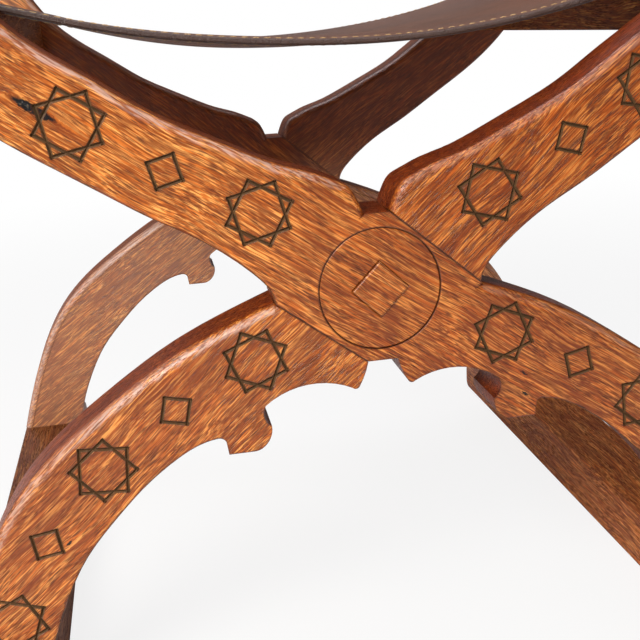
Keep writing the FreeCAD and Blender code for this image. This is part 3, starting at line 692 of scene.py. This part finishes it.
def saddle_leather():
    """Vegetable-tanned saddle leather, curried, waxed and burnished at its edges.
    The eye gets a deep brown hide with a pebbled grain, paler where it is sat on, and a
    soft waxy sheen. The pebbles are drawn a little coarser than real so that they show."""
    leather = bpy.context.scene.armchair.leather
    made, tree = new_material("waxed_saddle_leather")
    place = place_in_mm(tree)
    clouds = patches(tree, place, HIDE_CLOUDS, 0.35, 0.70, detail=4.0, rough=0.55)
    marks = patches(tree, place, HIDE_RUBS, 0.30, 0.75, 0.35, 1.0, detail=4.0, rough=0.65)
    wear, edge = [node(tree, "ShaderNodeAttribute", output="Fac", attribute_name=name)
                  for name in ("wear", "edge")]
    rub = together(tree, wear, marks)
    cell = node(tree, "ShaderNodeVectorMath", {0: place, "Scale": MM / leather.grain_size},
                operation="SCALE")
    pebbles = node(tree, "ShaderNodeTexVoronoi", {"Vector": cell, "Scale": 1.0},
                   output="Distance", feature="DISTANCE_TO_EDGE")
    pebbles = together(tree, (pebbles, 0.0, 0.22, 0.0, 1.0))
    pits = node(tree, "ShaderNodeMath", {0: 1.0, 1: pebbles}, operation="SUBTRACT")
    creases = thin_lines(tree, place, HIDE_CREASES, 0.035, detail=5.0, rough=0.62)
    colour = lay(tree, opaque(leather.hide), (leather.dark, clouds, 0.5),
                 (leather.worn, rub, 0.6), (leather.dark, creases, 0.30),
                 (leather.dark, pits, 0.28), (leather.dark, edge, 0.85))
    height = node(tree, "ShaderNodeMath", {0: creases, 1: CREASE_SINK, 2: pebbles},
                  operation="MULTIPLY_ADD")
    rough = together(tree, (rub, 0.0, 1.0, 0.50, 0.36))
    finish_surface(tree, height, HIDE_RELIEF,
                   {"Base Color": colour, "Roughness": rough, "IOR": 1.5,
                    "Coat Weight": 0.12, "Coat Roughness": 0.35})
    return made


def linen_thread():
    """Three-ply linen thread, waxed. The eye gets a pale straw line with a twisted ply, and
    painted shadow between the plies.
    """
    leather = bpy.context.scene.armchair.leather
    made, tree = new_material("waxed_linen_thread")
    ply = stretched_noise(tree, place_in_mm(tree), PLY_TURNS)
    # Painted shadow between the plies, where the twist noise is high
    colour = lay(tree, opaque(leather.thread), (leather.ply, (ply, 0.35, 0.7, 0.0, 1.0)))
    finish_surface(tree, ply, PLY_RELIEF, {"Base Color": colour, "Roughness": 0.6},
                   strength=0.8)
    return made


def new_piece(name, vertices, faces, material, smooth=True):
    """A new object of one mesh and one material."""
    mesh = bpy.data.meshes.new(name)
    mesh.from_pydata(vertices, [], faces)
    mesh.validate()
    mesh.polygons.foreach_set("use_smooth", [smooth] * len(mesh.polygons))
    piece = bpy.data.objects.new(name, mesh)
    bpy.context.scene.collection.objects.link(piece)
    mesh.materials.append(material)
    mesh.update()
    return piece


def turn_outwards(piece):
    """Makes the faces of a closed mesh look outwards."""
    bpy.context.view_layer.objects.active = piece
    piece.select_set(True)
    bpy.ops.object.mode_set(mode="EDIT")
    bpy.ops.mesh.select_all(action="SELECT")
    bpy.ops.mesh.normals_make_consistent(inside=False)
    bpy.ops.object.mode_set(mode="OBJECT")
    piece.select_set(False)


def arc_points(centre, radius, first, last, count):
    """Points and outward directions along an arc seen from the front, turning from +Z."""
    made = []
    for i in range(count + 1):
        turn = first + (last - first) * i / count
        way = Vector((math.sin(turn), 0, math.cos(turn)))
        made.append((centre + way * radius, way))
    return made


def sling():
    """Middle of the seat leather seen from the front: points, upward directions, lengths."""
    leather = bpy.context.scene.armchair.leather
    low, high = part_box("right_seat_rail")
    sheet_low, sheet_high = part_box("seat_leather")
    thickness = sheet_high.z - high.z - leather.clearance
    offset = leather.clearance + thickness / 2
    rounding = leather.rail_round
    inner, outer = low.x + rounding, high.x - rounding
    bend = 2 * math.atan(leather.sag / inner)
    radius = rounding + offset
    crest = high.z - rounding
    flap_end = sheet_low.z
    belly_radius = inner / math.sin(bend) - radius
    lowest = high.z + offset - (belly_radius + radius) * (1 - math.cos(bend))
    belly_centre = Vector((0, 0, lowest + belly_radius))
    top = []
    steps = 12
    for i in range(steps):
        top.append((Vector((high.x + offset, 0, flap_end + (crest - flap_end) * i / steps)),
                    Vector((1, 0, 0))))
    top += arc_points(Vector((outer, 0, crest)), radius, math.pi / 2, 0, 10)
    flat = 8
    for i in range(1, flat):
        top.append((Vector((outer + (inner - outer) * i / flat, 0, high.z + offset)),
                    Vector((0, 0, 1))))
    top += arc_points(Vector((inner, 0, crest)), radius, 0, -bend, 6)[:-1]
    belly = [(point, -way) for point, way in arc_points(
        belly_centre, belly_radius, math.pi - bend, math.pi + bend, 90)]
    other = [(Vector((-p.x, 0, p.z)), Vector((-n.x, 0, n.z))) for p, n in reversed(top)]
    path = top + belly + other
    lengths = [0.0]
    for (a, _), (b, _) in zip(path, path[1:]):
        lengths.append(lengths[-1] + (b - a).length)
    return path, lengths, thickness


def edge_steps(half, thickness, inside):
    """Places across a sheet from edge to edge, close together round its burnished edges."""
    rim = thickness / 2
    curve = [1 - math.cos(math.pi / 2 * i / 4) for i in range(4)]
    left = [(-half + rim * c, math.sqrt(max(0.0, 1 - (1 - c) ** 2))) for c in curve]
    span = 2 * (half - rim)
    middle = [(-half + rim + span * i / inside, 1.0) for i in range(inside + 1)]
    right = [(-y, t) for y, t in reversed(left)]
    return left + middle + right


def sheet_mesh(name, columns, rows, surface, material, wear, edge):
    """Closed sheet from a surface(column, row, side) of points, side +1 or -1."""
    vertices = []
    for side in (1, -1):
        for i in range(columns):
            for j in range(rows):
                vertices.append(surface(i, j, side))
    shift = columns * rows
    faces = []
    for i in range(columns - 1):
        for j in range(rows - 1):
            a = i * rows + j
            b = a + rows
            faces.append((a, b, b + 1, a + 1))
            faces.append((shift + a, shift + a + 1, shift + b + 1, shift + b))
    for i in range(columns - 1):
        for j in (0, rows - 1):
            a = i * rows + j
            b = a + rows
            faces.append((a, b, shift + b, shift + a))
    for j in range(rows - 1):
        for i in (0, columns - 1):
            a = i * rows + j
            faces.append((a, a + 1, shift + a + 1, shift + a))
    piece = new_piece(name, vertices, faces, material)
    turn_outwards(piece)
    for label, rule in (("wear", wear), ("edge", edge)):
        values = [rule(i, j) for _ in (0, 1) for i in range(columns) for j in range(rows)]
        layer = piece.data.attributes.new(label, "FLOAT", "POINT")
        layer.data.foreach_set("value", values)
    return piece


# The burnish at an edge of the leather fades over this
BURNISH = 4 * MM


def bell(distance, width):
    """One in the middle, falling to nothing over the width."""
    return math.exp(-(distance / width) ** 2)


def rounded_end(inset, thickness):
    """Share of its thickness that a sheet has this far in from its rounded end."""
    return math.sqrt(max(0.04, 1 - (1 - min(2 * inset / thickness, 1)) ** 2))


def capsule(start, end, out, radius):
    """Vertices and faces of one stitch: a thread that dips into the leather at both ends."""
    ring = 6
    # Along the stitch, how far it stands out in its own radius, its thickness there
    stations = ((0.0, -1.0, 0.75), (0.12, -0.15, 1.0), (0.3, 0.22, 1.0), (0.5, 0.32, 1.0),
                (0.7, 0.22, 1.0), (0.88, -0.15, 1.0), (1.0, -1.0, 0.75))
    along = (end - start).normalized()
    across = along.cross(out).normalized()
    vertices, faces = [], []
    for share, lift, size in stations:
        centre = start.lerp(end, share) + out * (lift * radius)
        for k in range(ring):
            angle = 2 * math.pi * k / ring
            vertices.append(centre + (across * math.cos(angle) + out * math.sin(angle))
                            * radius * size)
    for s in range(len(stations) - 1):
        for k in range(ring):
            a, b = s * ring + k, s * ring + (k + 1) % ring
            faces.append((a, b, b + ring, a + ring))
    last = (len(stations) - 1) * ring
    faces.append(tuple(reversed(range(ring))))
    faces.append(tuple(range(last, last + ring)))
    return vertices, faces


def stitch_row(path, outs, length, gap, radius):
    """Stitches along a line of points on the leather."""
    distances = [0.0]
    for a, b in zip(path, path[1:]):
        distances.append(distances[-1] + (b - a).length)

    def at(distance):
        k = 0
        while k < len(distances) - 2 and distances[k + 1] < distance:
            k += 1
        share = (distance - distances[k]) / max(distances[k + 1] - distances[k], 1e-9)
        return path[k].lerp(path[k + 1], share), outs[k].lerp(outs[k + 1], share).normalized()

    pitch = length + gap
    count = int((distances[-1] - gap) / pitch)
    spare = (distances[-1] - count * pitch + gap) / 2
    stitches = []
    for n in range(count):
        start, out = at(spare + n * pitch)
        end, _ = at(spare + n * pitch + length)
        stitches.append(capsule(start, end, out, radius))
    return stitches


def stitching(name, rows, material):
    """One piece of all the stitches along rows of points."""
    leather = bpy.context.scene.armchair.leather
    vertices, faces = [], []
    for path, outs in rows:
        for made, sides in stitch_row(path, outs, leather.stitch_length, leather.stitch_gap,
                                      leather.thread_width / 2):
            faces += [tuple(v + len(vertices) for v in side) for side in sides]
            vertices += made
    return new_piece(name, vertices, faces, material)


# In from the outer faces of the seat rails: where the seat hangs freely, where its creases
# fan out and where the stitches of its underside end. Then how far below the rails' tops
# the nails pull the flaps in, and how far short of their ends the stitches stop.
FREE_SEAT = 34 * MM
CREASES = 44 * MM
UNDER_STITCHES = 40 * MM
NAILED_FLAP = 12 * MM
FLAP_END = 40 * MM
# What sitting has done to the seat: how far it went down or up, over how much of the seat
HOLLOW, HOLLOW_REACH, HOLLOW_BEHIND = 7 * MM, 130 * MM, 10 * MM
LIP_DROOP, LIP_REACH = 2.2 * MM, 20 * MM
FOLD_RISE, FOLD_SPACINGS = 0.35 * MM, (30 * MM, 90 * MM)
CREASE_RISE, CREASE_REACH, CREASE_FROM_EDGE = 0.7 * MM, 18 * MM, 90 * MM
FLAP_PUFF = 0.5 * MM
# The part of the seat that is rubbed: half its width, half its depth, how far forward it is
WORN_WIDTH, WORN_DEPTH, WORN_FORWARD = 140 * MM, 130 * MM, 20 * MM


class ARMCHAIR_OT_seat(bpy.types.Operator):
    """Leather seat slung between the rails, with stitched borders."""
    bl_idname = "armchair.seat"
    bl_label = "Seat leather"

    def execute(self, context):
        leather = context.scene.armchair.leather
        path, lengths, thickness = sling()
        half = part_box("seat_leather")[1].y
        across = edge_steps(half, thickness, 56)
        whole = lengths[-1]
        columns, rows = len(path), len(across)
        chance = random.Random(4)
        waves = [(chance.uniform(*FOLD_SPACINGS), chance.uniform(0, 6.3),
                  chance.uniform(0.4, 1)) for _ in range(6)]
        rail, _, rail_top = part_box("right_seat_rail")[1]
        first_nail = half - leather.nail_inset
        pitch = 2 * first_nail / (leather.seat_nails - 1)

        def surface(i, j, side):
            point, up = path[i]
            y, full = across[j]
            along = lengths[i]
            inner = max(0.0, 1 - (point.x / (rail - FREE_SEAT)) ** 2)
            hollow = -HOLLOW * inner * bell(y - HOLLOW_BEHIND, HOLLOW_REACH)
            lip = -LIP_DROOP * inner * bell(half - abs(y), LIP_REACH)
            fold = sum(size * math.sin(along / step + turn + y * 9)
                       for step, turn, size in waves) * FOLD_RISE * inner
            crease = CREASE_RISE * math.sin(y * 95 + along * 20)
            crease *= bell(abs(point.x) - (rail - CREASES), CREASE_REACH)
            crease *= bell(half - abs(y), CREASE_FROM_EDGE)
            puff = 0.0
            if abs(point.x) > rail and point.z < rail_top - NAILED_FLAP:
                phase = (y + first_nail) / pitch
                puff = FLAP_PUFF * (1 - math.cos(2 * math.pi * phase)) / 2
            shift = hollow + lip + fold + crease + puff
            taper = rounded_end(min(along, whole - along), thickness)
            place = point + up * (shift + side * thickness / 2 * full * taper)
            return (place.x, y, place.z)

        def wear(i, j):
            return bell(path[i][0].x, WORN_WIDTH) * bell(across[j][0] + WORN_FORWARD,
                                                         WORN_DEPTH)

        def edge(i, j):
            inset = min(half - abs(across[j][0]), min(lengths[i], whole - lengths[i]))
            return bell(inset, BURNISH)

        hide = saddle_leather()
        seat = sheet_mesh("seat_sling", columns, rows, surface, hide, wear, edge)
        rows_of_thread = []
        for y in (leather.border - half, half - leather.border):
            j = min(range(rows), key=lambda k: abs(across[k][0] - y))
            for side in (1, -1):
                last = rail - UNDER_STITCHES if side < 0 else math.inf
                line = [i for i in range(columns) if abs(path[i][0].x) <= last
                        and FLAP_END < lengths[i] < whole - FLAP_END]
                places = [Vector(surface(i, j, side)) for i in line]
                for place in places:
                    place.y = y
                rows_of_thread.append((places, [path[i][1] * side for i in line]))
        thread = stitching("seat_stitching", rows_of_thread, linen_thread())
        for piece in (seat, thread):
            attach(piece, BODY)
        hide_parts("seat_leather")
        return {"FINISHED"}


# The back leather: its thickness, the rake of its posts, how far inside them it begins to
# hang, and how far inside that its stitches stop
BACK_THICKNESS = 3.5 * MM
RAKE = math.radians(6.0)
PAST_POST = 2 * MM
BACK_STITCHES = 6 * MM
# What leaning has done to the back: how far it went down, back, into folds and in at the
# nails, and over how much of it the nails pull
BACK_DIP, BACK_BELLY, BACK_FOLD = 5 * MM, 5 * MM, 1.4 * MM
NAIL_PULL, NAIL_PULL_REACH = 1.5 * MM, 45 * MM
# The part of the back that is rubbed: half its width, half its height, how high it is
LEANT_WIDTH, LEANT_HEIGHT, LEANT_UP = 160 * MM, 60 * MM, 10 * MM


class ARMCHAIR_OT_back(bpy.types.Operator):
    """Leather back nailed to the raked posts, slack between them."""
    bl_idname = "armchair.back"
    bl_label = "Back leather"

    def execute(self, context):
        leather = context.scene.armchair.leather
        low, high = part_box("back_leather")
        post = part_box("right_back_post")[0]
        arm_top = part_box("right_arm")[1].z
        thickness = BACK_THICKNESS
        edge_x = high.x
        out = Vector((0, -math.cos(RAKE), math.sin(RAKE)))
        rise = Vector((0, math.sin(RAKE), math.cos(RAKE)))
        lowest = (low.z - arm_top) / math.cos(RAKE)
        tall = (high.z - low.z) / math.cos(RAKE)
        chord = post.x - PAST_POST
        radius = (chord ** 2 + leather.back_sag ** 2) / (2 * leather.back_sag)
        columns = 121
        xs = [-edge_x + 2 * edge_x * i / (columns - 1) for i in range(columns)]
        tall_steps = edge_steps(tall / 2, thickness, 34)
        rows = len(tall_steps)
        first_nail = tall / 2 - leather.nail_inset
        pitch = 2 * first_nail / (leather.back_nails - 1)

        def slack(x):
            if abs(x) >= chord:
                return 0.0
            return math.sqrt(radius ** 2 - x ** 2) - (radius - leather.back_sag)

        def surface(i, j, side):
            x = xs[i]
            h, full = tall_steps[j]
            free = max(0.0, 1 - (x / chord) ** 2)
            dip = -BACK_DIP * free * (0.5 + h / tall)
            belly = BACK_BELLY * free * math.cos(math.pi * h / tall)
            fold = math.sin(x * 24 + 1.3 + h * 14) * math.sin(h * 33 + x * 6)
            fold *= BACK_FOLD * free
            pull = 0.0
            if abs(x) < chord:
                phase = (h + first_nail) / pitch
                pull = NAIL_PULL * math.cos(2 * math.pi * phase)
                pull *= bell(abs(x) - chord, NAIL_PULL_REACH)
            taper = rounded_end(edge_x - abs(x), thickness)
            # The slack takes the leather backwards, away from its face
            base = Vector((x, post.y + slack(x), arm_top))
            base += rise * (lowest + tall / 2 + h + dip)
            place = base + out * (thickness / 2 - belly + fold + pull
                                  + side * thickness / 2 * full * taper)
            return tuple(place)

        def wear(i, j):
            return bell(xs[i], LEANT_WIDTH) * bell(tall_steps[j][0] - LEANT_UP, LEANT_HEIGHT)

        def edge(i, j):
            return bell(min(tall / 2 - abs(tall_steps[j][0]), edge_x - abs(xs[i])), BURNISH)

        hide = bpy.data.materials["waxed_saddle_leather"]
        back = sheet_mesh("back_sling", columns, rows, surface, hide, wear, edge)
        rows_of_thread = []
        for h in (-tall / 2 + leather.border, tall / 2 - leather.border):
            j = min(range(rows), key=lambda k: abs(tall_steps[k][0] - h))
            for side in (1, -1):
                places = [Vector(surface(i, j, side)) for i in range(columns)
                          if abs(xs[i]) < chord - BACK_STITCHES]
                rows_of_thread.append((places, [out * side] * len(places)))
        thread = stitching("back_stitching", rows_of_thread,
                           bpy.data.materials["waxed_linen_thread"])
        for piece in (back, thread):
            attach(piece, BODY)
        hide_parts("back_leather")
        return {"FINISHED"}


# Soft lamps: name, place, what it is aimed at, size, watts, colour
LAMPS = (
    ("window", (-0.8, -1.1, 1.1), (0, -0.2, 0.35), (0.7, 0.7), 24, "#FFFAF2"),
    ("ceiling", (-0.3, 0.9, 2.1), (0, 0, 0.4), (1.6, 1.0), 12, "#F8F4FF"),
    ("right_fill", (1.7, -1.3, 1.0), (0, -0.2, 0.35), (1.0, 1.4), 5, "#FFF2EA"),
)
# Where the bright part of the surroundings that the varnish mirrors lies
BRIGHT_SKY = (-0.45, 0.0, 0.89)


def soft_lamp(name, place, target, size, watts, colour):
    """A rectangular lamp aimed at a target."""
    lamp = bpy.data.lights.new(name, "AREA")
    lamp.shape = "RECTANGLE"
    lamp.size, lamp.size_y = size
    lamp.energy = watts
    lamp.color = linear(colour)
    holder = bpy.data.objects.new(name, lamp)
    holder.location = place
    holder.rotation_euler = (Vector(target) - Vector(place)).to_track_quat("-Z", "Y").to_euler()
    bpy.context.scene.collection.objects.link(holder)


# The floor keeps its shadow near the middle and is clear white from here on, in metres
SHADOW_FIELD = (0.6, 2.2)


def pale_floor():
    """Matt white paint. The eye gets a white field that keeps a soft shadow."""
    made, tree = new_material("matt_white_floor")
    paint = node(tree, "ShaderNodeBsdfDiffuse", {"Color": opaque(linear("#F4F4F4"))})
    bright = node(tree, "ShaderNodeEmission", {"Color": opaque(linear("#FFFFFF")),
                                               "Strength": 1.0})
    seen = node(tree, "ShaderNodeLightPath", output="Is Camera Ray")
    away = node(tree, "ShaderNodeTexCoord", output="Object")
    away = node(tree, "ShaderNodeVectorMath", {0: away}, output="Value", operation="LENGTH")
    share = together(tree, seen, (away, *SHADOW_FIELD, 0.84, 1.0))
    field = node(tree, "ShaderNodeMixShader", {0: share, 1: paint, 2: bright})
    node(tree, "ShaderNodeOutputMaterial", {"Surface": field})
    return made


class ARMCHAIR_OT_stage(bpy.types.Operator):
    """Pale floor, soft lamps, white surroundings and the camera."""
    bl_idname = "armchair.stage"
    bl_label = "Stage"

    def execute(self, context):
        stage = context.scene.armchair.stage
        half = stage.floor_size / 2
        corners = [(-half, -half, 0), (half, -half, 0), (half, half, 0), (-half, half, 0)]
        floor = new_piece("floor", corners, [(0, 1, 2, 3)], pale_floor(), smooth=False)

        world = bpy.data.worlds.new("white_surroundings")
        world.use_nodes = True
        tree = world.node_tree
        tree.nodes.clear()
        white = opaque(linear("#FFFFFF"))
        shine = node(tree, "ShaderNodeLightPath", output="Is Glossy Ray")
        way = node(tree, "ShaderNodeTexCoord", output="Generated")
        way = node(tree, "ShaderNodeVectorMath", {0: way, 1: BRIGHT_SKY}, output="Value",
                   operation="DOT_PRODUCT")
        overhead = together(tree, (way, 0.30, 0.75, 0.05, 1.9))
        strength = node(tree, "ShaderNodeMapRange", {"Value": shine, 3: 0.30, 4: overhead})
        sky = node(tree, "ShaderNodeBackground", {"Color": white, "Strength": strength})
        seen = node(tree, "ShaderNodeBackground", {"Color": white, "Strength": 1.0})
        camera_ray = node(tree, "ShaderNodeLightPath", output="Is Camera Ray")
        both = node(tree, "ShaderNodeMixShader", {0: camera_ray, 1: sky, 2: seen})
        node(tree, "ShaderNodeOutputWorld", {"Surface": both})
        context.scene.world = world

        for lamp in LAMPS:
            soft_lamp(*lamp)

        sight = bpy.data.cameras.new("sight")
        sight.sensor_width = 36.0
        sight.lens = stage.lens
        sight.clip_start = 10 * MM
        camera = bpy.data.objects.new("sight", sight)
        camera.matrix_world = (Matrix.Translation(Vector(stage.place))
                               @ Matrix.Rotation(-stage.yaw, 4, "Z")
                               @ Matrix.Rotation(math.pi / 2 - stage.pitch, 4, "X")
                               @ Matrix.Rotation(-stage.roll, 4, "Z"))
        context.scene.collection.objects.link(camera)
        context.scene.camera = camera
        context.scene.view_settings.view_transform = "Standard"
        return {"FINISHED"}


class ARMCHAIR_PT_panel(bpy.types.Panel):
    """Sizes and colours of the armchair, and its pieces one by one."""
    bl_label = "Armchair"
    bl_idname = "ARMCHAIR_PT_panel"
    bl_space_type = "VIEW_3D"
    bl_region_type = "UI"
    bl_category = "Armchair"

    def draw(self, context):
        settings = context.scene.armchair
        for group in (settings.wood, settings.leather, settings.stage):
            box = self.layout.box()
            for name in group.bl_rna.properties.keys():
                if name not in ("rna_type", "name"):
                    box.prop(group, name)
        for operator in OPERATORS:
            self.layout.operator(operator.bl_idname)


GROUPS = (WoodSettings, LeatherSettings, StageSettings, ArmchairSettings)
OPERATORS = (ARMCHAIR_OT_stage, ARMCHAIR_OT_planks, ARMCHAIR_OT_bosses, ARMCHAIR_OT_runners,
             ARMCHAIR_OT_arms, ARMCHAIR_OT_nails, ARMCHAIR_OT_seat, ARMCHAIR_OT_back)


def register():
    for part in (*GROUPS, *OPERATORS, ARMCHAIR_PT_panel):
        bpy.utils.register_class(part)
    bpy.types.Scene.armchair = PointerProperty(
        type=ArmchairSettings, name="Armchair", description="Wood, leather and stage")


def unregister():
    del bpy.types.Scene.armchair
    for part in (ARMCHAIR_PT_panel, *reversed(OPERATORS), *reversed(GROUPS)):
        bpy.utils.unregister_class(part)


def main():
    register()
    for operator in OPERATORS:
        family, action = operator.bl_idname.split(".")
        getattr(getattr(bpy.ops, family), action)()


if __name__ == "__main__":
    main()
